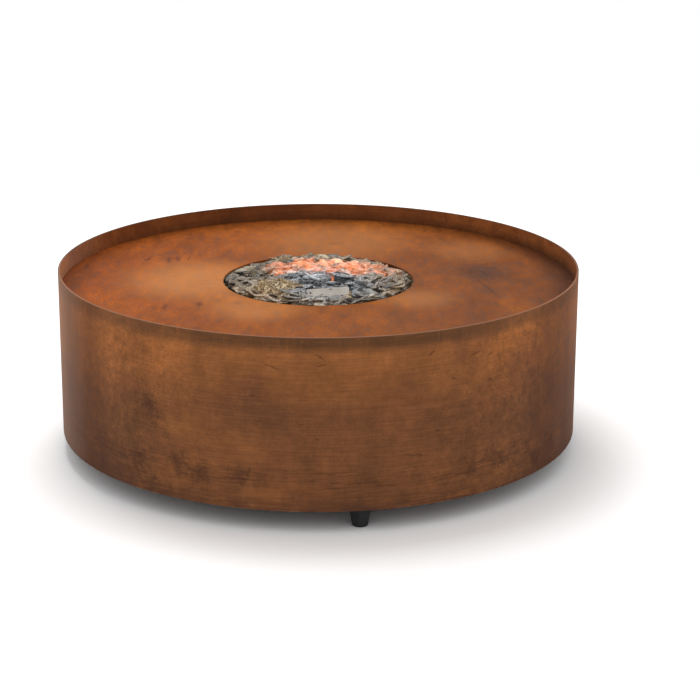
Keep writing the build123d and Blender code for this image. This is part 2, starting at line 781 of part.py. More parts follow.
def make_main_gas_pipe():
    """A pipe bent twice to go from the valve's level to the elbow's, with its nut at the valve."""
    bore = pipe_diameter - 2 * pipe_wall
    start = elbow_reach + pipe_nut_length
    end = valve_back - valve_boss_length
    low = (start + end - main_bend_run) / 2
    high = (start + end + main_bend_run) / 2
    route = ((0, start, feed_z), (0, low, feed_z), (knob_x, high, outlet_z), (knob_x, end, outlet_z))
    nut = hex_rod(pipe_nut_width, knob_x, outlet_z, end - pipe_nut_length, end)
    nut -= rod(bore, knob_x, outlet_z, end - pipe_nut_length, end)
    return tube(route, main_bend_radius, pipe_diameter, bore) + nut


def make_inlet_pipe():
    turn_y = valve_back + valve_inlet_setback
    start = (inlet_x, panel_back - inlet_shank_length, panel_z)
    end = (knob_x - valve_width / 2 - valve_boss_length, turn_y, panel_z)
    route = (start, (inlet_x, turn_y, panel_z), end)
    return tube(route, inlet_bend_radius, pipe_diameter, pipe_diameter - 2 * pipe_wall)


def rising_lead(x, diameter, bore=0.0):
    """A lead from a port on the valve's back, along under the bowl and up through its floor."""
    route = ((x, valve_back - pilot_port_length, pilot_port_z), (x, pilot_distance, pilot_port_z),
             (x, pilot_distance, lead_end_z))
    return tube(route, lead_bend_radius, diameter, bore)


def make_ignition_lead():
    start_y = panel_back - igniter_length - igniter_terminal_length
    cross_y = start_y - igniter_x
    level = panel_z + spark_lead_rise
    route = ((igniter_x, start_y, panel_z), (igniter_x, start_y - igniter_x / 2, panel_z),
             (0, cross_y - igniter_x, level), (0, pilot_distance, level), (0, pilot_distance, lead_end_z))
    return tube(route, lead_bend_radius, spark_lead_diameter)


os.makedirs("parts", exist_ok=True)

save("drum_shell", make_drum_shell())
save("base_ring", make_base_ring())
save("top_tray", make_top_tray())
save("tray_lugs", *around(make_tray_lug(), lug_count, lug_start_angle))
tray_stud, tray_nut = stud_and_nut(lug_bolt_circle, tray_under, lug_thickness)
save("tray_studs", *around(tray_stud, lug_count, lug_start_angle))
save("tray_nuts", *around(tray_nut, lug_count, lug_start_angle))

foot_places = [polar(foot_circle, foot_start_angle + 360 * i / foot_count) for i in range(foot_count)]
for number, place in enumerate(foot_places, 1):
    save(f"levelling_foot_{number}", place * make_foot())
    save(f"foot_stud_{number}", place * make_foot_stud())
save("foot_nuts", *[place * make_foot_nut() for place in foot_places])

save("fire_bowl", make_fire_bowl())
bowl_stud, bowl_nut = stud_and_nut(bowl_bolt_circle, tray_under, bowl_sheet)
save("bowl_studs", *around(bowl_stud, bowl_bolt_count))
save("bowl_nuts", *around(bowl_nut, bowl_bolt_count))
save("grate_tabs", *around(make_grate_tab(), tab_count, tab_start_angle))
save("media_grate", make_media_grate())
save("fire_bed", make_fire_bed())
save("fire_stones", *make_fire_stones())

save("burner_ring", *around(make_burner_half(), 2))
save("burner_hub", make_burner_hub())
save("burner_locknut", make_burner_locknut())
save("air_mixer", make_air_mixer())
save("air_shutter", make_air_shutter())
save("injector", make_injector())
save("gas_elbow", make_gas_elbow())

save("control_box", make_control_box())
save("control_valve", make_control_valve())
save("valve_screws", *[make_valve_screw(knob_x + side * valve_screw_spacing / 2) for side in (-1, 1)])
save("valve_spindle", make_valve_spindle())
save("control_knob", make_control_knob())
save("igniter_body", make_igniter_body())
save("igniter_nut", make_igniter_nut())
save("igniter_button", make_igniter_button())
save("gas_inlet", make_gas_inlet())
save("inlet_nut", make_inlet_nut())

save("pilot_bracket", make_pilot_bracket())
save("pilot_burner", make_pilot_burner())
save("thermocouple", make_thermocouple())
save("spark_electrode", make_spark_electrode())

save("main_gas_pipe", make_main_gas_pipe())
save("inlet_pipe", make_inlet_pipe())
pilot_pipe_bore = pilot_pipe_diameter - 2 * pilot_pipe_wall
save("pilot_gas_pipe", rising_lead(pilot_spacing, pilot_pipe_diameter, pilot_pipe_bore))
save("thermocouple_lead", rising_lead(-pilot_spacing, sensor_lead_diameter))
save("ignition_lead", make_ignition_lead())
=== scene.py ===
import math
import random

import bmesh
import bpy
from mathutils import Euler, Matrix, Vector, noise
from mathutils.bvhtree import BVHTree


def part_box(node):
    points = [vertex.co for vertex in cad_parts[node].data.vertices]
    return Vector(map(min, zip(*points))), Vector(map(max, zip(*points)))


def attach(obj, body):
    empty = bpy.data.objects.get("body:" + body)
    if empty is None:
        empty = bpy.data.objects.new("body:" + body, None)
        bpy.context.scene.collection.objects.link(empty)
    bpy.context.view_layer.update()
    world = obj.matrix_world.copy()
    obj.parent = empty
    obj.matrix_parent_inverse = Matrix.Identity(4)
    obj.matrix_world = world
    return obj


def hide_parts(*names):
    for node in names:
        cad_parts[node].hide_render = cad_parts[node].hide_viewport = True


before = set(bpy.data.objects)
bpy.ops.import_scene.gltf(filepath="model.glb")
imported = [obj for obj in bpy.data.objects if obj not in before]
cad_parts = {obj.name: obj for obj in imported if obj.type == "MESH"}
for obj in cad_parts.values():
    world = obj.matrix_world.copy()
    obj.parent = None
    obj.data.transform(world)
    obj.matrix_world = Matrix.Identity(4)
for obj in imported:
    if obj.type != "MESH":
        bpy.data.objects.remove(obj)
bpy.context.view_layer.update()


# Drum shell: one plate of weathering steel, rolled to a drum, welded along an upright seam and ground
# flush. Its rust grew in the open, so rolling marks, water runs and lying damp have all left a trace.

MM = 0.001


def linear(hex_colour):
    """An sRGB hex colour as the linear colour that a shader takes."""
    parts = [int(hex_colour[i:i + 2], 16) / 255 for i in (1, 3, 5)]
    return [c / 12.92 if c <= 0.04045 else ((c + 0.055) / 1.055) ** 2.4 for c in parts] + [1.0]


def add(tree, kind, inputs=None, stops=None, **settings):
    """One shader node with its settings; an input takes a value, a socket, or a node's first output."""
    node = tree.nodes.new(kind)
    for name, value in settings.items():
        setattr(node, name, value)
    for key, value in (inputs or {}).items():
        if isinstance(value, bpy.types.Node):
            value = value.outputs[0]
        if isinstance(value, bpy.types.NodeSocket):
            tree.links.new(value, node.inputs[key])
        else:
            node.inputs[key].default_value = value
    if stops:
        ramp = node.color_ramp.elements
        while len(ramp) < len(stops):
            ramp.new(1.0)
        for element, (position, colour) in zip(ramp, stops):
            element.position = position
            element.color = linear(colour)
    return node


def across(size):
    """The noise scale whose patches are about this many millimetres across."""
    return 1 / (size * MM)


def new_material(name):
    """An empty material, its node tree, and coordinates for its patterns: the CAD frame's metres."""
    material = bpy.data.materials.new(name)
    material.use_nodes = True
    material.node_tree.nodes.clear()
    tree = material.node_tree
    return material, tree, add(tree, "ShaderNodeTexCoord").outputs["Object"]


def finish_surface(tree, shader):
    """Ends a material with its shader."""
    add(tree, "ShaderNodeOutputMaterial", {"Surface": shader})


def dress(material, *nodes):
    """Puts a material on CAD nodes in place of the plain one they came with."""
    for name in nodes:
        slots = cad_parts[name].data.materials
        slots.clear()
        slots.append(material)


def coat(tree, colour, tint, share, masks=(), blend="MIX"):
    """The colour with a share of a tint laid over it, less of it where the masks fade."""
    for mask in masks:
        share = add(tree, "ShaderNodeMath", {0: share, 1: mask}, operation="MULTIPLY")
    tint = linear(tint) if isinstance(tint, str) else tint
    laid = add(tree, "ShaderNodeMix", {0: share, 6: colour, 7: tint}, data_type="RGBA", blend_type=blend)
    return laid.outputs[2]


def rust(tree, coords, tones, grain, grain_size, shares):
    """The patina's colour and height: broad tones, then blotches, grain along one way, and grit."""
    broad_size = 190
    blotch_size = 17
    grit_size = 3.5  # rust grit is finer than a pixel here, so it is drawn this coarse to show at all
    broad = add(tree, "ShaderNodeTexNoise", {
        "Vector": coords, "Scale": across(broad_size), "Detail": 5.0, "Roughness": 0.62, "Distortion": 0.4})
    colour = add(tree, "ShaderNodeValToRGB", {"Fac": broad}, stops=tones)
    drawn = add(tree, "ShaderNodeVectorMath", {0: coords, 1: grain}, operation="MULTIPLY")
    patterns = []
    for place, size, detail, roughness, share in (
            (coords, blotch_size, 6.0, 0.7, shares[0]),
            (drawn, grain_size, 4.0, 0.6, shares[1]),
            (coords, grit_size, 2.0, 0.6, shares[2])):
        pattern = add(tree, "ShaderNodeTexNoise", {
            "Vector": place, "Scale": across(size), "Detail": detail, "Roughness": roughness})
        contrast = add(tree, "ShaderNodeMapRange", {"Value": pattern, "From Min": 0.32, "From Max": 0.68})
        colour = coat(tree, colour, contrast, share, blend="OVERLAY")
        patterns.append(pattern)
    blotch, _, grit = patterns
    return colour, add(tree, "ShaderNodeMath", {0: grit, 1: blotch}, operation="ADD")


def stain(tree, coords, colour, dark, size, clear, strength, masks=()):
    """Ragged dark patches of this size over the colour; clear is the level of the noise left bare."""
    edge = 0.14
    patch = add(tree, "ShaderNodeTexNoise", {
        "Vector": coords, "Scale": across(size), "Detail": 7.0, "Roughness": 0.68, "Distortion": 0.3})
    level = add(tree, "ShaderNodeMapRange", {
        "Value": patch, "From Min": clear, "From Max": clear + edge, "To Max": strength})
    return coat(tree, colour, dark, level, masks)


def spot(tree, coords, colour, dark, place, reach, strength):
    """One soft stain round a place on the part, ragged at its edge."""
    rag_size = 13
    rag = add(tree, "ShaderNodeTexNoise", {
        "Vector": coords, "Scale": across(rag_size), "Detail": 6.0, "Roughness": 0.7})
    away = add(tree, "ShaderNodeVectorMath", {0: coords, 1: place}, operation="DISTANCE").outputs["Value"]
    ragged = add(tree, "ShaderNodeMath", {0: rag, 1: 2.4 * reach, 2: away}, operation="MULTIPLY_ADD")
    level = add(tree, "ShaderNodeMapRange", {
        "Value": ragged, "From Min": 1.2 * reach, "From Max": 2.0 * reach, "To Min": strength, "To Max": 0.0})
    return coat(tree, colour, dark, level)


def frayed(tree, coords, sway):
    """The coordinates shaken by a fine noise, so that marks drawn with them have frayed edges."""
    fray_size = 8
    shake = add(tree, "ShaderNodeTexNoise", {"Vector": coords, "Scale": across(fray_size), "Detail": 3.0})
    centred = add(tree, "ShaderNodeVectorMath", {
        0: shake.outputs["Color"], 1: (0.5, 0.5, 0.5)}, operation="SUBTRACT")
    moved = add(tree, "ShaderNodeVectorMath", {
        0: centred, 1: (sway * MM, sway * MM, sway * MM), 2: coords}, operation="MULTIPLY_ADD")
    return moved.outputs[0]


def scrape(tree, coords, colour, dark, place, lie, reach, strength):
    """One scratch or fleck: an ellipsoid with these half-sizes, turned to lie along the sheet."""
    local = add(tree, "ShaderNodeMapping", {
        "Vector": coords, "Location": place, "Rotation": lie, "Scale": reach}, vector_type="TEXTURE")
    away = add(tree, "ShaderNodeVectorMath", {0: local}, operation="LENGTH").outputs["Value"]
    level = add(tree, "ShaderNodeMapRange", {
        "Value": away, "From Min": 0.5, "From Max": 1.2, "To Min": strength, "To Max": 0.0})
    return coat(tree, colour, dark, level)


def rust_shader(tree, colour, height, shine=0.14):
    """Dull oxide with a little gloss from the sealing oil where the patches are smooth."""
    rough = add(tree, "ShaderNodeMapRange", {
        "Value": height, "From Min": 0.75, "From Max": 1.3, "To Min": 0.5, "To Max": 0.75})
    bump = add(tree, "ShaderNodeBump", {"Height": height, "Strength": 0.35, "Distance": 0.4 * MM})
    return add(tree, "ShaderNodeBsdfPrincipled", {
        "Base Color": colour, "Roughness": rough, "Normal": bump, "IOR": 1.5, "Specular IOR Level": shine})


wall_low, wall_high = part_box("drum_shell")
rim_z = wall_high.z
wall_radius = wall_high.x
wall_sheet = 4 * MM
tide_z = wall_low.z + 55 * MM
tray_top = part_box("top_tray")[1].z
front_turn = math.radians(-54.2)  # the side that faces the camera
right_turn = front_turn + math.pi / 2  # the camera's right
scratch_depth = 10 * MM
scratch_width = 1.7 * MM


def on_wall(turn, rise):
    """A place on the wall's outside, at a turn in degrees and a height in millimetres."""
    around = math.radians(turn)
    return wall_radius * math.cos(around), wall_radius * math.sin(around), rise * MM


# Rolled weathering steel with a grown patina: brown, with rolling lines in the middle and speckle on the
# flanks, warmer near the rim, stained towards the ground, and redder inside, where painted shade darkens it.
# A painted sheen pales the left end, and a painted highlight lies on the front of the rim.
material, tree, coords = new_material("weathering_steel_rolled")
up = add(tree, "ShaderNodeSeparateXYZ", {0: coords}).outputs["Z"]
ahead, aside = [
    add(tree, "ShaderNodeVectorMath", {
        0: coords, 1: (math.cos(turn) / wall_radius, math.sin(turn) / wall_radius, 0.0)},
        operation="DOT_PRODUCT").outputs["Value"]
    for turn in (front_turn, right_turn)]
off_middle = add(tree, "ShaderNodeMath", {0: aside}, operation="ABSOLUTE")
flat = add(tree, "ShaderNodeVectorMath", {0: coords, 1: (1.0, 1.0, 0.0)}, operation="MULTIPLY")
outward = add(tree, "ShaderNodeVectorMath", {0: flat}, operation="LENGTH").outputs["Value"]

# Patterns squeezed in height run along the rolling; stretched ones run down the wall.
upright, falling, rolled, settled = [
    add(tree, "ShaderNodeVectorMath", {0: coords, 1: (1.0, 1.0, squeeze)}, operation="MULTIPLY")
    for squeeze in (0.12, 0.1, 14.0, 0.5)]

# Zones of the wall: what is measured, where a zone begins and ends, and its share at each. Ahead and aside
# are counted in radii from the drum's axis, up and outward in metres. Some zones place painted light: a sheen
# on the left end, a highlight on the rim's front, and shade inside and in the corner along the tray.
zone = {}
for name, measure, start, end, at_start, at_end in (
        ("blotches", off_middle, 0.35, 0.75, 0.14, 0.30),
        ("rolling_lines", off_middle, 0.35, 0.75, 0.15, 0.05),
        ("grit", off_middle, 0.35, 0.75, 0.08, 0.22),
        ("middle", off_middle, 0.45, 0.8, 1.0, 0.3),
        ("flank", off_middle, 0.4, 0.85, 0.0, 0.42),
        ("run_near", off_middle, 0.74, 0.83, 0.0, 1.0),
        ("run_far", off_middle, 0.93, 0.995, 1.0, 0.0),
        ("foremost", ahead, 0.72, 0.97, 0.0, 1.0),
        ("rim_highlight_front", ahead, -0.2, 0.4, 0.0, 1.0),
        ("sheen_left_end", aside, -0.85, -1.0, 0.0, 0.5),
        ("sunny_end", aside, -1.0, -0.86, 0.0, 1.0),
        ("shaded_half", aside, -0.4, 0.3, 1.2, 0.95),
        ("corner_shade_side", aside, -1.0, 1.0, 0.2, 1.6),
        ("upper_part", up, rim_z - 150 * MM, rim_z - 10 * MM, 0.0, 0.75),
        ("flank_upper", up, rim_z - 190 * MM, rim_z - 90 * MM, 0.0, 1.0),
        ("flank_lower", up, wall_low.z + 60 * MM, wall_low.z + 190 * MM, 0.9, 0.0),
        ("lower_part", up, wall_low.z, rim_z - 90 * MM, 1.0, 0.15),
        ("below_tide", up, tide_z - 34 * MM, tide_z - 8 * MM, 0.0, 1.0),
        ("above_tide", up, tide_z + 8 * MM, tide_z + 34 * MM, 1.0, 0.0),
        ("damp_foot", up, wall_low.z, wall_low.z + 34 * MM, 0.55, 0.0),
        ("corner_shade_foot", up, tray_top, tray_top + 20 * MM, 0.9, 0.0),
        ("rim_top_band", up, rim_z - 1.5 * MM, rim_z - 0.2 * MM, 0.0, 0.7),
        ("outer_face", outward, wall_radius - 0.5 * wall_sheet, wall_radius - 0.1 * wall_sheet, 0.0, 1.0),
        ("inner_face", outward, wall_radius - wall_sheet, wall_radius - 0.8 * wall_sheet, 0.5, 0.0)):
    zone[name] = add(tree, "ShaderNodeMapRange", {
        "Value": measure, "From Min": start, "From Max": end, "To Min": at_start, "To Max": at_end})
zone["under_rim"] = add(tree, "ShaderNodeMapRange", {
    "Value": up, "From Min": rim_z - 34 * MM, "From Max": rim_z - 12 * MM}, interpolation_type="SMOOTHSTEP")
inside = [zone["inner_face"], zone["sunny_end"], zone["shaded_half"]]
dripping = [zone["under_rim"], zone["outer_face"]]

# The sheet's own rust, faint water runs down it, and a warmer upper part, brightest high on the flanks.
colour, height = rust(tree, coords, [
    (0.32, "#764a32"), (0.46, "#855433"), (0.56, "#8f5a37"), (0.70, "#a0653a")],
    grain=(1.0, 1.0, 26.0), grain_size=80, shares=[zone["blotches"], zone["rolling_lines"], zone["grit"]])
run = add(tree, "ShaderNodeTexNoise", {"Vector": upright, "Scale": across(44), "Detail": 3.0})
colour = coat(tree, colour, run, share=0.24, blend="OVERLAY")
colour = coat(tree, colour, "#faf3d7", zone["upper_part"], blend="OVERLAY")
colour = coat(tree, colour, "#faf0d7", zone["flank"], [zone["flank_upper"]], "OVERLAY")

# Broad stains low down, dashes rolled into the middle, and small pits all over.
colour = stain(
    tree, coords, colour, "#4a3226", size=45, clear=0.40, strength=0.8,
    masks=[zone["flank"], zone["flank_lower"]])
colour = stain(
    tree, coords, colour, "#4a3226", size=70, clear=0.55, strength=0.35, masks=[zone["lower_part"]])
colour = stain(tree, rolled, colour, "#4b2f21", size=34, clear=0.64, strength=0.5, masks=[zone["middle"]])
colour = stain(tree, coords, colour, "#4b2f21", size=7, clear=0.62, strength=0.55)

# Single dark stains, a tide line left by standing water, and a few scratches and dots.
for turn, rise, reach, strength in (
        (-90.9, 195, 46, 0.65), (-93.9, 92, 38, 0.6), (-84.2, 108, 36, 0.6), (-79.0, 92, 30, 0.6),
        (-70.1, 102, 30, 0.6), (-66.5, 98, 24, 0.5), (-91.4, 56, 30, 0.6), (5.1, 83, 40, 0.65),
        (-1.5, 66, 30, 0.6), (-13.4, 96, 28, 0.55), (-21.5, 89, 24, 0.5)):
    colour = spot(tree, coords, colour, "#42291f", on_wall(turn, rise), reach * MM, strength)
colour = stain(
    tree, rolled, colour, "#42291f", size=60, clear=0.50, strength=0.55,
    masks=[zone["below_tide"], zone["above_tide"]])
edges = frayed(tree, coords, 8)
for turn, rise, length, tilt in (
        (-63.5, 305, 32, -19), (-53.8, 323, 22, -34), (-53.8, 309, 17, 6), (-20.7, 306, 26, 18),
        (-31.0, 319, 13, 34), (-34.4, 135, 44, -8), (-16.7, 300, 13, 24), (-57.6, 202, 10, 0),
        (-54.4, 175, 9, 0), (-67.4, 251, 11, 0), (-25.9, 267, 9, 0), (-17.0, 251, 11, 0),
        (-29.5, 176, 9, 0)):
    lie = (0.0, -math.radians(tilt), math.radians(turn) + math.pi / 2)
    reach = (0.6 * length * MM, scratch_depth, scratch_width)
    colour = scrape(tree, edges, colour, "#4a2c1e", on_wall(turn, rise), lie, reach, 0.5)

# Damp at the foot, a grey band where the rim drips, red runs down both flanks, and a painted sheen that
# pales the left end.
colour = stain(
    tree, rolled, colour, "#46302a", size=60, clear=0.4, strength=1.0, masks=[zone["damp_foot"]])
colour = stain(tree, falling, colour, "#5c4230", size=9, clear=0.30, strength=0.5, masks=dripping)
colour = stain(
    tree, upright, colour, "#52290f", size=44, clear=0.24, strength=0.5,
    masks=[zone["run_near"], zone["run_far"], zone["outer_face"]])
colour = stain(
    tree, rolled, colour, "#3f2d1f", size=60, clear=0.30, strength=0.5, masks=dripping + [zone["foremost"]])
colour = coat(tree, colour, "#b08e7c", zone["sheen_left_end"])

# Inside, above the tray: redder, and darker with painted shade, deepest on the left half and fading out at
# the far left end. Painted shade also deepens the corner along the tray, most on the right.
colour = coat(tree, colour, "#54280f", share=1.0, masks=inside)
colour = stain(tree, settled, colour, "#351a0e", size=48, clear=0.5, strength=0.5, masks=inside)
colour = coat(tree, colour, "#3a1b0d", zone["corner_shade_foot"], [zone["corner_shade_side"]] + inside)
# The rim's top edge: a painted highlight in front, dark at the rear.
rim_highlight_tone = coat(tree, linear("#4a362a"), "#8a5f46", zone["rim_highlight_front"])
colour = coat(tree, colour, rim_highlight_tone, zone["rim_top_band"])
finish_surface(tree, rust_shader(tree, colour, height))
dress(material, "drum_shell")


# Base ring and tray lugs: flat bar and folded angles of the same steel, welded inside the drum. They stay
# dry and dark, with mill scale left between the rust.

# Mill scale: blue-black skin from the rolling mill, broken by patches of brown rust.
material, tree, coords = new_material("weathering_steel_mill_scale")
colour, height = rust(tree, coords, [
    (0.30, "#2f2724"), (0.46, "#4a3327"), (0.58, "#5e3e2a"), (0.72, "#74482b")],
    grain=(1.0, 1.0, 1.0), grain_size=30, shares=(0.3, 0.3, 0.5))
colour = stain(tree, coords, colour, "#2b2a2c", size=40, clear=0.5, strength=0.8)
finish_surface(tree, rust_shader(tree, colour, height))
dress(material, "base_ring", "tray_lugs")


# Levelling feet: hexagonal feet moulded in black nylon over zinc-plated studs, turned by hand to level the
# drum and locked with a nut above the base ring.


def moulded_plastic(name, colour, worn, roughness):
    """Moulded plastic: an even colour with a spark-eroded grain and slight rubbing on the high spots."""
    grain_size = 0.9  # the mould's grain is a tenth of a millimetre, so it is drawn coarser to show at all
    cloud_size = 14
    material, tree, coords = new_material(name)
    grain = add(tree, "ShaderNodeTexNoise", {"Vector": coords, "Scale": across(grain_size), "Detail": 2.0})
    cloud = add(tree, "ShaderNodeTexNoise", {"Vector": coords, "Scale": across(cloud_size), "Detail": 5.0})
    tone = add(tree, "ShaderNodeValToRGB", {"Fac": cloud}, stops=[(0.42, colour), (0.72, worn)])
    gloss = add(tree, "ShaderNodeMapRange", {
        "Value": cloud, "From Min": 0.3, "From Max": 0.7,
        "To Min": roughness - 0.06, "To Max": roughness + 0.08})
    bump = add(tree, "ShaderNodeBump", {"Height": grain, "Strength": 0.25, "Distance": 0.1 * MM})
    finish_surface(tree, add(tree, "ShaderNodeBsdfPrincipled", {
        "Base Color": tone, "Roughness": gloss, "Normal": bump, "IOR": 1.53}))
    return material


# Moulded nylon: near black and half matt, greyer where it is rubbed.
black_nylon = moulded_plastic("nylon_black_moulded", "#1b1b1c", "#2b2b2c", roughness=0.45)
dress(black_nylon, *[f"levelling_foot_{i}" for i in range(1, 5)])


def small_metal(name, tones, roughness, patch, grain=(1.0, 1.0, 1.0), coarse=3.0):
    """A bare or plated metal: cloudy tones over a grain, which may be drawn out along one way."""
    material, tree, coords = new_material(name)
    cloud = add(tree, "ShaderNodeTexNoise", {"Vector": coords, "Scale": across(patch), "Detail": 5.0})
    tone = add(tree, "ShaderNodeValToRGB", {"Fac": cloud}, stops=tones)
    drawn = add(tree, "ShaderNodeVectorMath", {0: coords, 1: grain}, operation="MULTIPLY")
    line = add(tree, "ShaderNodeTexNoise", {"Vector": drawn, "Scale": across(coarse), "Detail": 3.0})
    lined = coat(tree, tone, line, share=0.3, blend="OVERLAY")
    gloss = add(tree, "ShaderNodeMapRange", {
        "Value": line, "From Min": 0.3, "From Max": 0.7,
        "To Min": roughness - 0.07, "To Max": roughness + 0.1})
    bump = add(tree, "ShaderNodeBump", {"Height": line, "Strength": 0.15, "Distance": 0.1 * MM})
    finish_surface(tree, add(tree, "ShaderNodeBsdfPrincipled", {
        "Base Color": lined, "Metallic": 1.0, "Roughness": gloss, "Normal": bump}))
    return material


# Bright zinc plate: pale blue-grey with faint cloudy passivation.
zinc = small_metal(
    "steel_zinc_plated", [(0.35, "#9a9da0"), (0.55, "#b3b4b2"), (0.72, "#c2bfa9")], roughness=0.34, patch=9)
dress(zinc, "foot_nuts", *[f"foot_stud_{i}" for i in range(1, 5)])


# Top tray: a disc of weathering steel with a round opening for the burner, laid on the lugs and held from
# below by welded studs. Lying flat, it holds water and rusts to a warmer, brighter orange than the wall.

tray_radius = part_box("top_tray")[1].x
toward_left = (-0.81, -0.58, 0.0)
painted_light_reach = 450 * MM
corner_width = 70 * MM
fleck_depth = 10 * MM


def on_tray(x, y):
    """A place on the tray's upper face, from millimetres."""
    return x * MM, y * MM, tray_top


# Flat weathering steel: orange mottled with brown, with a painted light brightest on the left side, pale
# patches where water dried, a few dark drips and flecks, and painted shade in the corner along the wall.
material, tree, coords = new_material("weathering_steel_flat")
lengthwise = add(tree, "ShaderNodeMapping", {
    "Vector": coords, "Rotation": (0.0, 0.0, right_turn), "Scale": (1.0, 2.6, 1.0)}, vector_type="TEXTURE")
colour, height = rust(tree, lengthwise, [
    (0.30, "#7b4416"), (0.45, "#884b17"), (0.56, "#945318"), (0.70, "#9f5c1e")],
    grain=(1.0, 1.0, 1.0), grain_size=40, shares=(0.26, 0.22, 0.25))
# A painted light: the tray lighter and warmer towards its left side.
leftward = add(tree, "ShaderNodeVectorMath", {
    0: coords, 1: toward_left}, operation="DOT_PRODUCT").outputs["Value"]
painted_light_drift = add(tree, "ShaderNodeMapRange", {
    "Value": leftward, "From Min": -painted_light_reach, "From Max": painted_light_reach})
painted_light_tint = add(tree, "ShaderNodeValToRGB", {"Fac": painted_light_drift}, stops=[
    (0.0, "#a39882"), (0.5, "#bfb498"), (1.0, "#ccae82")])
colour = coat(tree, colour, painted_light_tint, share=0.8, blend="OVERLAY")

# Pale patches where water dried, darker mottling over them, then single drips and frayed flecks.
for x, y, reach, strength in (
        (-151, 261, 210, 0.24), (-185, -140, 200, 0.45), (20, -225, 130, 0.34), (231, 1, 100, 0.24),
        (120, 364, 120, 0.16)):
    away = add(tree, "ShaderNodeVectorMath", {
        0: coords, 1: on_tray(x, y)}, operation="DISTANCE").outputs["Value"]
    dried = add(tree, "ShaderNodeMapRange", {
        "Value": away, "From Min": 0.2 * reach * MM, "From Max": reach * MM,
        "To Min": strength, "To Max": 0.0}, interpolation_type="SMOOTHSTEP")
    colour = coat(tree, colour, "#e69a58", dried)
colour = stain(tree, coords, colour, "#5d3a26", size=85, clear=0.57, strength=0.35)
colour = stain(tree, lengthwise, colour, "#4a2a18", size=11, clear=0.63, strength=0.6)
for x, y, reach, strength in (
        (232, 238, 78, 0.65), (206, 262, 70, 0.5), (255, 216, 60, 0.55), (-335, -45, 30, 0.3)):
    colour = spot(tree, coords, colour, "#45281c", on_tray(x, y), reach * MM, strength)
edges = frayed(tree, coords, 18)
for x, y, along, length, width in (
        (-368, -72, 110, 38, 8), (-328, -57, 126, 44, 7), (-320, -36, 126, 40, 8), (-306, -20, 120, 30, 6),
        (-430, -189, 126, 38, 8), (-117, -324, 126, 40, 11), (-78, -270, 126, 30, 10),
        (296, 142, -40, 130, 7)):
    lie = (0.0, 0.0, math.radians(along))
    reach = (0.6 * length * MM, 0.6 * width * MM, fleck_depth)
    colour = scrape(tree, edges, colour, "#4a2a1c", on_tray(x, y), lie, reach, 0.6)

# Painted shade in the corner along the wall, deepest on the right.
flat = add(tree, "ShaderNodeVectorMath", {0: coords, 1: (1.0, 1.0, 0.0)}, operation="MULTIPLY")
outward = add(tree, "ShaderNodeVectorMath", {0: flat}, operation="LENGTH").outputs["Value"]
corner = add(tree, "ShaderNodeMapRange", {
    "Value": outward, "From Min": tray_radius - corner_width, "From Max": tray_radius},
    interpolation_type="SMOOTHSTEP")
corner_shade_weight = add(tree, "ShaderNodeMapRange", {
    "Value": leftward, "From Min": -tray_radius, "From Max": -0.5 * tray_radius,
    "To Min": 0.9, "To Max": 0.5})
colour = stain(
    tree, coords, colour, "#3a1c0c", size=60, clear=0.30, strength=1.0, masks=[corner, corner_shade_weight])
finish_surface(tree, rust_shader(tree, colour, height, shine=0.1))
dress(material, "top_tray")
dress(zinc, "tray_studs", "tray_nuts", "bowl_studs", "bowl_nuts")


# Fire bowl: a drawn stainless bowl under the opening, with a grate on welded tabs inside it. It hangs from
# the tray on studs, and the heat has tinted it near the burner.

# Heat-tinted stainless: grey, clouded with straw and blue.
heated_steel = small_metal("stainless_steel_heat_tinted", [
    (0.32, "#6b6a6a"), (0.46, "#8d867b"), (0.60, "#a59a84"), (0.74, "#8a86a0")], roughness=0.36, patch=60)
dress(heated_steel, "fire_bowl", "grate_tabs", "media_grate")


# Burner: a bent stainless ring with a row of ports, fed through two spokes from a hub on the bowl's floor
# and clamped by a plated locknut below it.

dress(heated_steel, "burner_ring", "burner_hub")
dress(zinc, "burner_locknut")


# Air mixer: a cast-iron venturi screwed on the burner's tail, with a turning stainless shutter over its
# windows and a brass injector and elbow below.

# Grey iron as cast: near black, sandy and dull.
cast_iron = small_metal(
    "grey_iron_as_cast", [(0.34, "#2c2c2d"), (0.55, "#3c3b3a"), (0.72, "#4d4641")],
    roughness=0.62, patch=20, coarse=1.6)
dress(cast_iron, "air_mixer")

# Brushed stainless: pale grey with fine lines along the sheet, drawn at 1.2 mm so that they show.
brushed_steel = small_metal(
    "stainless_steel_brushed", [(0.35, "#a3a3a0"), (0.55, "#b6b5b1"), (0.72, "#c4c2bb")],
    roughness=0.3, patch=40, grain=(0.06, 1.0, 1.0), coarse=1.2)
dress(brushed_steel, "air_shutter")

# Turned brass: yellow with fine rings and a dull, handled tone in places.
brass = small_metal(
    "brass_turned", [(0.34, "#9a7a3c"), (0.55, "#c09a4c"), (0.72, "#cfae62")],
    roughness=0.28, patch=12, grain=(1.0, 6.0, 1.0))
dress(brass, "injector", "gas_elbow")


# Control recess: a folded stainless box welded behind the window in the rear wall, so that the controls
# stand inside the drum's outline.

dress(brushed_steel, "control_box")


# Gas valve: a die-cast aluminium block held behind the panel by two plated screws. A turned steel spindle
# with a flat works it through the panel.

# Die-cast aluminium: light grey, slightly cloudy from the die.
die_cast = small_metal(
    "aluminium_die_cast", [(0.35, "#8e9092"), (0.55, "#a2a4a5"), (0.72, "#b2b3b2")],
    roughness=0.42, patch=16, coarse=2.0)
dress(die_cast, "control_valve")
dress(zinc, "valve_screws")

# Turned steel: bright and smooth with rings along its length.
turned_steel = small_metal(
    "steel_turned_bright", [(0.35, "#8d8d8c"), (0.6, "#a9a8a5"), (0.75, "#b7b5b0")],
    roughness=0.25, patch=10, grain=(1.0, 8.0, 1.0))
dress(turned_steel, "valve_spindle")


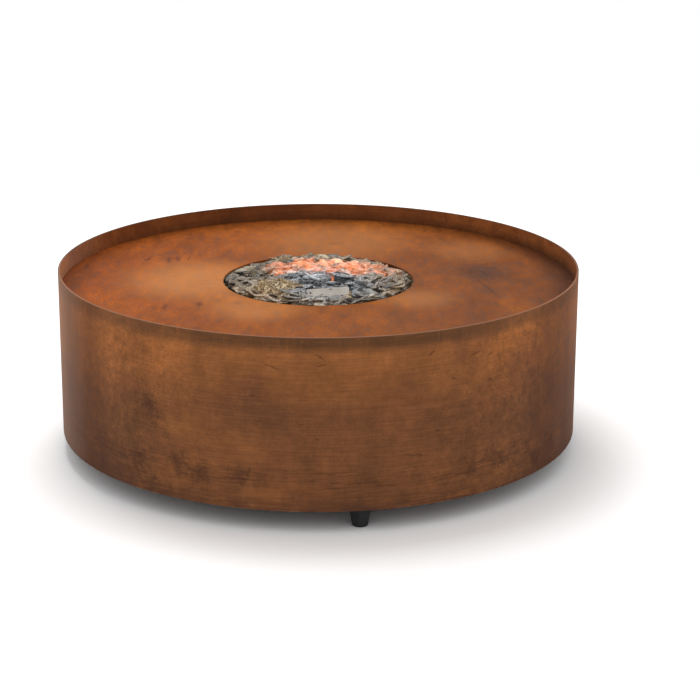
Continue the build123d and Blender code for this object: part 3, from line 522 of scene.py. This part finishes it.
# Control knob: moulded in the same black nylon as the feet, with a finger bar across its face. It is
# pressed on the spindle's flat and sprung against it.

dress(black_nylon, "control_knob")


# Igniter: a piezo striker in a black moulded body, pushed through the panel and held by a plated nut.
# Its button is red, so that a hand finds it.

dress(black_nylon, "igniter_body")
dress(zinc, "igniter_nut")

# Moulded ABS: an even red with a soft gloss.
dress(moulded_plastic("abs_red_moulded", "#8d1a14", "#a3241b", roughness=0.3), "igniter_button")


# Gas inlet: a turned brass bulkhead nipple that a hose screws on. It goes through the panel and has its
# own brass nut behind it.

dress(brass, "gas_inlet", "inlet_nut")


# Pipes and leads: drawn copper for gas and the sensor's lead, aluminium for the pilot, and a silicone
# high-tension lead from the igniter.

# Drawn copper: reddish, dulled to brown in clouds.
copper = small_metal(
    "copper_drawn", [(0.34, "#8a5138"), (0.52, "#b06f4c"), (0.72, "#c58a63")], roughness=0.33, patch=22)
dress(copper, "main_gas_pipe", "inlet_pipe", "thermocouple_lead")
dress(die_cast, "pilot_gas_pipe")

# Extruded silicone: dull brick red, paler where it is dusty.
dress(moulded_plastic("silicone_red_extruded", "#7e2219", "#94352a", roughness=0.5), "ignition_lead")


# Pilot: a brass pilot burner, a stainless sensor and a ceramic electrode, all held by a folded bracket on
# the bowl's floor.

dress(heated_steel, "pilot_bracket", "thermocouple")
dress(brass, "pilot_burner")

# Fired alumina: off-white with a matt skin, greyed by soot.
dress(moulded_plastic("alumina_fired", "#d9d4c8", "#a8a296", roughness=0.4), "spark_electrode")


# Fill: crushed lava spread on the grate to hide the burner, uneven from raking and heaped in one place
# between the stones.

fill_low, fill_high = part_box("fire_bed")
fill_radius = fill_high.x
fill_rise = 9 * MM
fill_edge = 10 * MM
fill_slope = 16 * MM
rake_depth = 2.5 * MM
rake_size = 18 * MM
heap_place = Vector((-10 * MM, -124 * MM, 0))
heap_reach = 64 * MM
heap_rise = 24 * MM
rings, spokes = 44, 132
chip_size = 4.5 * MM
chip_count = 2400
chip_kinds = 14
chip_corners = 11
chip_edge = 6 * MM
chance = random.Random(5)


def place_object(name, data):
    """A new object in the scene."""
    piece = bpy.data.objects.new(name, data)
    bpy.context.scene.collection.objects.link(piece)
    return piece


def fill_level(x, y):
    """Height of the raked fill."""
    away = (Vector((x, y, 0)) - heap_place).length / heap_reach
    heap = heap_rise * max(0.0, 1 - away * away)
    inward = min(1.0, max(0.0, (fill_radius - fill_edge - math.hypot(x, y)) / fill_slope))
    uneven = rake_depth * noise.noise(Vector((x, y, 0)) / rake_size)
    return fill_high.z + (fill_rise + heap) * inward + uneven


def chip_shape():
    """Corners and faces of one broken chip, about a unit across."""
    body = bmesh.new()
    for _ in range(chip_corners):
        way = Vector([chance.gauss(0, 1) for _ in range(3)]).normalized()
        body.verts.new(way * chance.uniform(0.75, 1.0))
    bmesh.ops.convex_hull(body, input=body.verts)
    bmesh.ops.delete(body, geom=[v for v in body.verts if not v.link_faces], context="VERTS")
    body.verts.index_update()
    shape = [v.co.copy() for v in body.verts], [[v.index for v in f.verts] for f in body.faces]
    body.free()
    return shape


points = [Vector((0, 0, fill_level(0, 0)))]
for ring in range(1, rings + 1):
    reach = fill_radius * ring / rings
    for spoke in range(spokes):
        x = reach * math.cos(2 * math.pi * spoke / spokes)
        y = reach * math.sin(2 * math.pi * spoke / spokes)
        points.append(Vector((x, y, fill_level(x, y))))
faces = [[0, 1 + i, 1 + (i + 1) % spokes] for i in range(spokes)]
for ring in range(rings - 1):
    near = 1 + ring * spokes
    far = near + spokes
    for i in range(spokes):
        j = (i + 1) % spokes
        faces.append([near + i, far + i, far + j, near + j])
edge = 1 + (rings - 1) * spokes
under = len(points)
points += [Vector((p.x, p.y, fill_low.z)) for p in points[edge:edge + spokes]]
for i in range(spokes):
    j = (i + 1) % spokes
    faces.append([edge + i, under + i, under + j, edge + j])
faces.append([under + i for i in reversed(range(spokes))])

# Every third chip lies on the heap, the others anywhere on the fill.
chip_shapes = [chip_shape() for _ in range(chip_kinds)]
for number in range(chip_count):
    turn = chance.uniform(0, 2 * math.pi)
    if number % 3:
        reach = (fill_radius - chip_edge) * math.sqrt(chance.random())
        place = Vector((reach * math.cos(turn), reach * math.sin(turn), 0))
    else:
        reach = heap_reach * math.sqrt(chance.random())
        place = heap_place + Vector((reach * math.cos(turn), reach * math.sin(turn), 0))
    place.z = fill_level(place.x, place.y) + chance.uniform(-0.3, 0.5) * chip_size
    size = chip_size * chance.uniform(0.6, 1.3)
    stretch = Matrix.Diagonal(Vector((size, 0.75 * size, 0.5 * size)))
    lie = Euler([chance.uniform(0, 6.28) for _ in range(3)]).to_matrix() @ stretch
    corners, sides = chance.choice(chip_shapes)
    first = len(points)
    points += [place + lie @ corner for corner in corners]
    faces += [[first + i for i in side] for side in sides]
fill_mesh = bpy.data.meshes.new("lava_fill_raked")
fill_mesh.from_pydata(points, [], faces)
fill = place_object("lava_fill_raked", fill_mesh)

# Crushed lava: dull brown grit, chip by chip from umber to grey, with the odd glassy glint.
material, tree, coords = new_material("lava_crushed")
lot = add(tree, "ShaderNodeNewGeometry").outputs["Random Per Island"]
tone = add(tree, "ShaderNodeValToRGB", {"Fac": lot}, stops=[
    (0.0, "#7d6a50"), (0.3, "#b0956e"), (0.6, "#d3ba93"), (0.85, "#a89a86"), (1.0, "#f0e4ca")])
speck = add(tree, "ShaderNodeTexNoise", {"Vector": coords, "Scale": across(2.4), "Detail": 4.0})
specked = coat(tree, tone, speck, share=0.7, blend="OVERLAY")
dull = add(tree, "ShaderNodeMapRange", {"Value": lot, "To Min": 0.75, "To Max": 0.3})
bump = add(tree, "ShaderNodeBump", {"Height": speck, "Strength": 0.6, "Distance": 0.8 * MM})
finish_surface(tree, add(tree, "ShaderNodeBsdfPrincipled", {
    "Base Color": specked, "Roughness": dull, "Normal": bump, "IOR": 1.5}))
fill_mesh.materials.append(material)
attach(fill, "drum")
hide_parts("fire_bed")


# Fire stones: broken lumps of dark glassy slag laid loose on the fill. The slag cooled in layers, so each
# lump has curled ledges. Those over the burner carry a painted glow.

layer_depth = 4.5 * MM
layer_curls = ((10 * MM, 26 * MM), (3 * MM, 9 * MM))
pit_size = 3.5 * MM
stone_ledge = 2.6 * MM
stone_voxel = 1.8 * MM
bed_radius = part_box("fire_stones")[1].x
painted_glow_place = Vector((20, 55, 0)) * MM
painted_glow_reach = 150 * MM
soot_place = Vector((-138, -78, 335)) * MM
soot_reach = 120 * MM
painted_sheen_place = Vector((55, -50, 335)) * MM
painted_sheen_near, painted_sheen_far = 60 * MM, 130 * MM


def loose_lumps(node):
    """The separate solids of a CAD node, each as its own small mesh."""
    body = bmesh.new()
    body.from_mesh(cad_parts[node].data)
    bmesh.ops.remove_doubles(body, verts=body.verts, dist=0.01 * MM)
    left = set(body.verts)
    lumps = []
    for seed in list(body.verts):
        if seed not in left:
            continue
        left.remove(seed)
        front = [seed]
        members = {}
        while front:
            vertex = front.pop()
            members[vertex] = len(members)
            for edge in vertex.link_edges:
                other = edge.other_vert(vertex)
                if other in left:
                    left.remove(other)
                    front.append(other)
        sides = {face for vertex in members for face in vertex.link_faces}
        lump = bpy.data.meshes.new("lump")
        lump.from_pydata([v.co[:] for v in members], [], [[members[v] for v in f.verts] for f in sides])
        lumps.append(lump)
    body.free()
    return lumps


def evaluated(holder):
    """The mesh that an object makes with its modifiers or bevels; the object itself goes."""
    made = bpy.data.meshes.new_from_object(holder.evaluated_get(bpy.context.evaluated_depsgraph_get()))
    bpy.data.objects.remove(holder)
    return made


def remeshed(mesh, voxel):
    """A copy of a closed mesh with even faces."""
    holder = place_object("holder", mesh)
    modifier = holder.modifiers.new("even", "REMESH")
    modifier.mode = "VOXEL"
    modifier.voxel_size = voxel
    return evaluated(holder)


def layered(mesh, axis, ledge):
    """Cuts curled ledges into a lump, as in slag that cooled layer on layer."""
    shift = Vector([chance.uniform(0, 9) for _ in range(3)])
    normals = [v.normal.copy() for v in mesh.vertices]
    for vertex, normal in zip(mesh.vertices, normals):
        place = vertex.co + shift
        curl = sum(swing * noise.noise(place / size) for swing, size in layer_curls)
        depth = (vertex.co.dot(axis) + curl) / layer_depth
        step = depth - math.floor(depth)
        pitted = 0.2 * ledge * noise.noise(place / pit_size)
        vertex.co -= normal * (ledge * step ** 2 - pitted)


def joined(name, meshes):
    """One smooth object from several meshes, and a tree to find its surface."""
    body = bmesh.new()
    for mesh in meshes:
        body.from_mesh(mesh)
    for face in body.faces:
        face.smooth = True
    whole = bpy.data.meshes.new(name)
    body.to_mesh(whole)
    surface = BVHTree.FromBMesh(body)
    body.free()
    return place_object(name, whole), surface


stone_meshes = [remeshed(lump, stone_voxel) for lump in loose_lumps("fire_stones")]
for mesh in stone_meshes:
    lean = Vector((chance.uniform(-0.6, 0.6), chance.uniform(-0.6, 0.6), 1.0)).normalized()
    layered(mesh, lean, stone_ledge)
stones, stone_surface = joined("fire_stone_lumps", stone_meshes)


def slag(name, tones, gloss_low, gloss_high):
    """Glassy slag: a tone for each piece, flow lines and a wet gloss; a painted sheen, soot and a painted
    glow in places.
    """
    flow_size = 7
    grit_size = 2.2
    glow_patch_size = 26
    material, tree, coords = new_material(name)
    lot = add(tree, "ShaderNodeNewGeometry").outputs["Random Per Island"]
    tone = add(tree, "ShaderNodeValToRGB", {"Fac": lot}, stops=tones)
    flow = add(tree, "ShaderNodeTexNoise", {
        "Vector": coords, "Scale": across(flow_size), "Detail": 6.0, "Roughness": 0.65, "Distortion": 2.0})
    streak = add(tree, "ShaderNodeValToRGB", {"Fac": flow}, stops=[
        (0.36, "#2b2a28"), (0.50, "#8a8a8a"), (0.60, "#cbc9c3"), (0.70, "#efede7")])
    colour = coat(tree, tone, streak, share=0.9, blend="OVERLAY")

    # Silver grey round the plate, lightened there by a painted sheen, and sooty at the end away from it.
    from_painted_sheen = add(tree, "ShaderNodeVectorMath", {
        0: coords, 1: painted_sheen_place}, operation="DISTANCE").outputs["Value"]
    painted_sheen = add(tree, "ShaderNodeMapRange", {
        "Value": from_painted_sheen, "From Min": painted_sheen_near, "From Max": painted_sheen_far, "To Min": 0.8, "To Max": 0.0})
    colour = coat(tree, colour, "#8a939c", painted_sheen, blend="COLOR")
    colour = coat(tree, colour, "#e4e4e4", painted_sheen, blend="OVERLAY")
    colour = spot(tree, coords, colour, "#2b2a28", soot_place, soot_reach, 0.75)

    # A painted glow lies in a long patch over the burner, in patches of uneven strength.
    turned = add(tree, "ShaderNodeMapping", {"Vector": coords, "Rotation": (0.0, 0.0, -right_turn)})
    offset = add(tree, "ShaderNodeVectorMath", {0: turned, 1: painted_glow_place}, operation="SUBTRACT")
    narrow = add(tree, "ShaderNodeVectorMath", {0: offset, 1: (1.0, 1.9, 0.0)}, operation="MULTIPLY")
    away = add(tree, "ShaderNodeVectorMath", {0: narrow}, operation="LENGTH").outputs["Value"]
    near = add(tree, "ShaderNodeMapRange", {
        "Value": away, "From Min": 0.6 * painted_glow_reach, "From Max": painted_glow_reach, "To Min": 1.0, "To Max": 0.0})
    glow_patch = add(tree, "ShaderNodeTexNoise", {
        "Vector": coords, "Scale": across(glow_patch_size), "Detail": 5.0, "Roughness": 0.6})
    glow_share = add(tree, "ShaderNodeMapRange", {
        "Value": glow_patch, "From Min": 0.34, "From Max": 0.66, "To Max": 0.95})
    painted_glow = coat(tree, linear("#000000"), "#ff956a", glow_share, [near])

    gloss = add(tree, "ShaderNodeMapRange", {
        "Value": flow, "From Min": 0.3, "From Max": 0.7, "To Min": gloss_low, "To Max": gloss_high})
    grit = add(tree, "ShaderNodeTexNoise", {"Vector": coords, "Scale": across(grit_size), "Detail": 3.0})
    bump = add(tree, "ShaderNodeBump", {"Height": grit, "Strength": 0.3, "Distance": 0.8 * MM})
    finish_surface(tree, add(tree, "ShaderNodeBsdfPrincipled", {
        "Base Color": colour, "Roughness": gloss, "Normal": bump, "IOR": 1.55, "Specular IOR Level": 0.3,
        "Emission Color": painted_glow, "Emission Strength": 1.2}))
    return material


# Broken slag glass: dark olive, brown and blue grey lumps.
stones.data.materials.append(slag("slag_glass_broken", [
    (0.0, "#625a4a"), (0.3, "#957a5a"), (0.55, "#5a626a"), (0.8, "#927c64"), (1.0, "#504f4f")],
    gloss_low=0.18, gloss_high=0.4))
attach(stones, "drum")
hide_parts("fire_stones")


# Name plate: a bare strip of stainless with rounded corners and one fixing hole, set down on the stones at
# the front with its back edge raised.

plate_size = Vector((80, 17)) * MM
plate_sheet = 0.8 * MM
plate_place = Vector((85, -87, 0)) * MM
plate_lean = math.radians(45)
plate_roll = math.radians(-4)
plate_corner = 2.5 * MM
corner_steps = 6
plate_hole = 2.2 * MM
hole_inset = 7 * MM
hole_steps = 15
along_steps, cross_steps = 20, 6


def closed_line(curve, line):
    """Adds a closed outline to a flat curve."""
    spline = curve.splines.new("POLY")
    spline.points.add(len(line) - 1)
    for point, (x, y) in zip(spline.points, line):
        point.co = (x, y, 0, 1)
    spline.use_cyclic_u = True


def arc(x, y, radius, start, end, steps):
    """Points along an arc round a centre, between two angles in degrees."""
    angles = [math.radians(start + (end - start) * i / steps) for i in range(steps + 1)]
    return [(x + radius * math.cos(a), y + radius * math.sin(a)) for a in angles]


def bed_level(x, y):
    """Height of the bed's surface, stones or fill."""
    hit = stone_surface.ray_cast(Vector((x, y, rim_z)), Vector((0, 0, -1)))[0]
    return max(hit.z, fill_level(x, y)) if hit else fill_level(x, y)


half = plate_size / 2
inner = half - Vector((plate_corner, plate_corner))
outline = []
for x, y, start in ((1, 1, 0), (-1, 1, 90), (-1, -1, 180), (1, -1, 270)):
    outline += arc(x * inner.x, y * inner.y, plate_corner, start, start + 90, corner_steps)
strip = bpy.data.curves.new("name_plate_strip", "CURVE")
strip.dimensions = "2D"
strip.fill_mode = "BOTH"
strip.extrude = 0.3 * plate_sheet
strip.bevel_depth = 0.2 * plate_sheet
strip.bevel_resolution = 2
closed_line(strip, outline)
closed_line(strip, arc(hole_inset - half.x, 0, plate_hole, 0, 360 - 360 / (hole_steps + 1), hole_steps))
plate_mesh = evaluated(place_object("strip", strip))

# The leaning plate is let down until some point of it touches the bed.
pose = Euler((plate_lean, plate_roll, right_turn)).to_matrix()
gap = -1.0
for i in range(along_steps + 1):
    for j in range(cross_steps + 1):
        x = plate_size.x * (i / along_steps - 0.5)
        y = plate_size.y * (j / cross_steps - 0.5)
        under = plate_place + pose @ Vector((x, y, 0))
        gap = max(gap, bed_level(under.x, under.y) - under.z)
seat = plate_place + Vector((0, 0, gap - plate_sheet))
plate_mesh.transform(Matrix.Translation(seat) @ pose.to_4x4())
plate = place_object("name_plate_bare", plate_mesh)
plate_mesh.materials.clear()

# Bead-blasted stainless: an even, matt light grey.
plate_mesh.materials.append(small_metal(
    "stainless_steel_bead_blasted", [(0.35, "#938d86"), (0.55, "#9b958d"), (0.72, "#a49e96")],
    roughness=0.5, patch=20, coarse=1.0))
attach(plate, "drum")


# Slag flakes: thin curved flakes broken off the stones, strewn among them so that no gap is left, and kept
# clear of the plate.

flake_count = 520
flake_size = Vector((21, 9, 3)) * MM
flake_ledge = 1.1 * MM
flake_clear = 12 * MM
flake_edge = 7 * MM
below_rim = 14 * MM
most_curve = 14
layer_lean = Vector((0.2, 0.7, 0.7)).normalized()
flat_plate = Matrix.Rotation(-right_turn, 3, "Z")
flake_meshes = []
while len(flake_meshes) < flake_count:
    turn = chance.uniform(0, 2 * math.pi)
    reach = (bed_radius - flake_edge) * math.sqrt(chance.random())
    place = Vector((reach * math.cos(turn), reach * math.sin(turn), 0))
    beside = flat_plate @ (place - plate_place)
    if abs(beside.x) < half.x + flake_clear and abs(beside.y) < half.y + flake_clear:
        continue
    if (place - heap_place).length < 0.6 * heap_reach:
        continue
    # Near the opening's edge a flake lies along it. It rests on what is under its ends and middle.
    size = chance.uniform(0.65, 1.2)
    spin = chance.uniform(0, 2 * math.pi)
    if reach > bed_radius - 0.9 * flake_size.x:
        spin = turn + math.pi / 2 + chance.uniform(-0.3, 0.3)
    along = Vector((math.cos(spin), math.sin(spin), 0)) * 0.6 * size * flake_size.x
    rests = [bed_level(place.x + n * along.x, place.y + n * along.y) for n in (-1, 0, 1)]
    place.z = 0.4 * max(rests) + 0.6 * sum(rests) / 3 + chance.uniform(-0.4, 0.6) * flake_size.z
    place.z = min(place.z, rim_z - below_rim)
    flake = bmesh.new()
    bmesh.ops.create_icosphere(flake, subdivisions=3, radius=1.0)
    bmesh.ops.transform(flake, matrix=Matrix.Diagonal((size * flake_size).to_4d()), verts=flake.verts)
    curve = chance.uniform(-most_curve, most_curve)
    for vertex in flake.verts:
        vertex.co.z += curve * vertex.co.x ** 2
        vertex.co.y += 0.5 * curve * vertex.co.x ** 2
    lie = Euler((chance.gauss(0, 0.38), chance.gauss(0, 0.18), spin)).to_matrix().to_4x4()
    bmesh.ops.transform(flake, matrix=Matrix.Translation(place) @ lie, verts=flake.verts)
    mesh = bpy.data.meshes.new("flake")
    flake.to_mesh(mesh)
    flake.free()
    layered(mesh, lie.to_3x3() @ layer_lean, flake_ledge)
    flake_meshes.append(mesh)
flakes = joined("slag_flakes", flake_meshes)[0]

# Flaked slag glass: as the lumps, with more pale and silvery pieces.
flakes.data.materials.append(slag("slag_glass_flaked", [
    (0.0, "#5c5448"), (0.25, "#ab8f6a"), (0.5, "#877c6e"), (0.75, "#bca686"), (1.0, "#dbd0ba")],
    gloss_low=0.16, gloss_high=0.36))
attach(flakes, "drum")
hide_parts("fire_stones")


# Floor and light: a pale round studio floor under the feet, one soft box high up behind the part, and even
# light from all round. None of it is part of the object.

floor_reach = 2.6
floor_sides = 64
floor_mesh = bpy.data.meshes.new("studio_floor")
floor_turns = [2 * math.pi * i / floor_sides for i in range(floor_sides)]
floor_mesh.from_pydata(
    [(floor_reach * math.cos(turn), floor_reach * math.sin(turn), 0) for turn in floor_turns], [],
    [list(range(floor_sides))])
floor = place_object("studio_floor", floor_mesh)

# Matt white paint, lifted to white for the camera alone, so that the shadow under the part still shows.
material, tree = new_material("studio_floor_matt_white")[:2]
ray = add(tree, "ShaderNodeLightPath")
matt = add(tree, "ShaderNodeBsdfDiffuse", {"Color": linear("#e6e6e6")})
lift = add(tree, "ShaderNodeBsdfDiffuse", {"Color": linear("#d2d2d2")})
lifted = add(tree, "ShaderNodeAddShader", {0: matt, 1: lift})
finish_surface(tree, add(tree, "ShaderNodeMixShader", {
    0: ray.outputs["Is Camera Ray"], 1: matt, 2: lifted}))
floor_mesh.materials.append(material)

# All round it is white to the camera and in reflections, and dimmer as a light.
world = bpy.data.worlds.new("studio")
world.use_nodes = True
world.node_tree.nodes.clear()
tree = world.node_tree
ray = add(tree, "ShaderNodeLightPath")
looked_at = ray.outputs["Is Camera Ray"]
for other in ("Is Glossy Ray", "Is Transmission Ray"):
    looked_at = add(tree, "ShaderNodeMath", {0: looked_at, 1: ray.outputs[other]}, operation="MAXIMUM")
backdrop = add(tree, "ShaderNodeBackground", {"Color": linear("#ffffff"), "Strength": 1.0})
ambient = add(tree, "ShaderNodeBackground", {"Color": linear("#ffffff"), "Strength": 0.6})
sky = add(tree, "ShaderNodeMixShader", {0: looked_at, 1: ambient, 2: backdrop})
add(tree, "ShaderNodeOutputWorld", {"Surface": sky})
bpy.context.scene.world = world

# The soft box's place and aim, in metres to the right, beyond and up as the camera sees the part.
box_place = Vector((-0.3, 0.7, 3.0))
box_aim = Vector((0.0, 0.0, 0.3))
light = bpy.data.lights.new("overhead_soft_box", "AREA")
light.size = 1.5
light.energy = 38.0
lamp = place_object("overhead_soft_box", light)
turned = Matrix.Rotation(right_turn, 4, "Z")
lamp.location = turned @ box_place
lamp.rotation_euler = (turned @ box_aim - lamp.location).to_track_quat("-Z", "Y").to_euler()


# Camera: a long lens in front of the part and about a metre above its rim, looking down on the tray. Its
# shift puts the part a little left of the middle.

camera_distance = 3.961
camera_height = 1.407
camera_pitch = math.radians(17.18)
camera = bpy.data.cameras.new("camera")
camera.sensor_width = 36.0
camera.lens = 109.0
camera.shift_x = 0.0453
viewer = place_object("camera", camera)
viewer.location = (
    camera_distance * math.sin(right_turn), -camera_distance * math.cos(right_turn), camera_height)
viewer.rotation_euler = Euler((math.pi / 2 - camera_pitch, 0.0, right_turn))
bpy.context.scene.camera = viewer
bpy.context.scene.view_settings.view_transform = "Standard"
